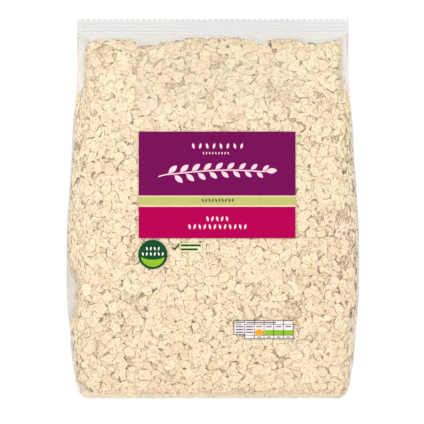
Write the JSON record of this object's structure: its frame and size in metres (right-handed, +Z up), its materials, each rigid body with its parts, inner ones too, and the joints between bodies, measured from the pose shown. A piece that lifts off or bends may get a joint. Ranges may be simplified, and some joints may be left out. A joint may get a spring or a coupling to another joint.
{
  "type": "bag of rolled oats",
  "caption": "Clear side-gusseted film bag filled with jumbo rolled oats, with a flat base, a crimped toothed top seal and flat printed fields on its front.",
  "frame": {"origin": "centre of the bag's bounding box at the height of the surface it stands on", "axes": "+Z up towards the top seal, the printed front faces -Y, +X to the right as seen from the front"},
  "size_m": [0.205, 0.0614, 0.266],
  "materials": {
    "filled_film": "clear film over cream oat flakes",
    "seal_film": "crimped clear film, slightly hazy",
    "print_purple": "flat dark purple print",
    "print_lime": "flat pale lime print",
    "print_magenta": "flat magenta print",
    "print_green": "flat dark green print",
    "print_lilac": "flat pale lilac print"
  },
  "bodies": {
    "root": {"bag": "filled_film", "top_seal": "seal_film", "label_upper": "print_purple", "label_band": "print_lime", "label_lower": "print_magenta", "roundel": "print_green", "nutrition_panel": "print_lilac"}
  },
  "joints": []
}
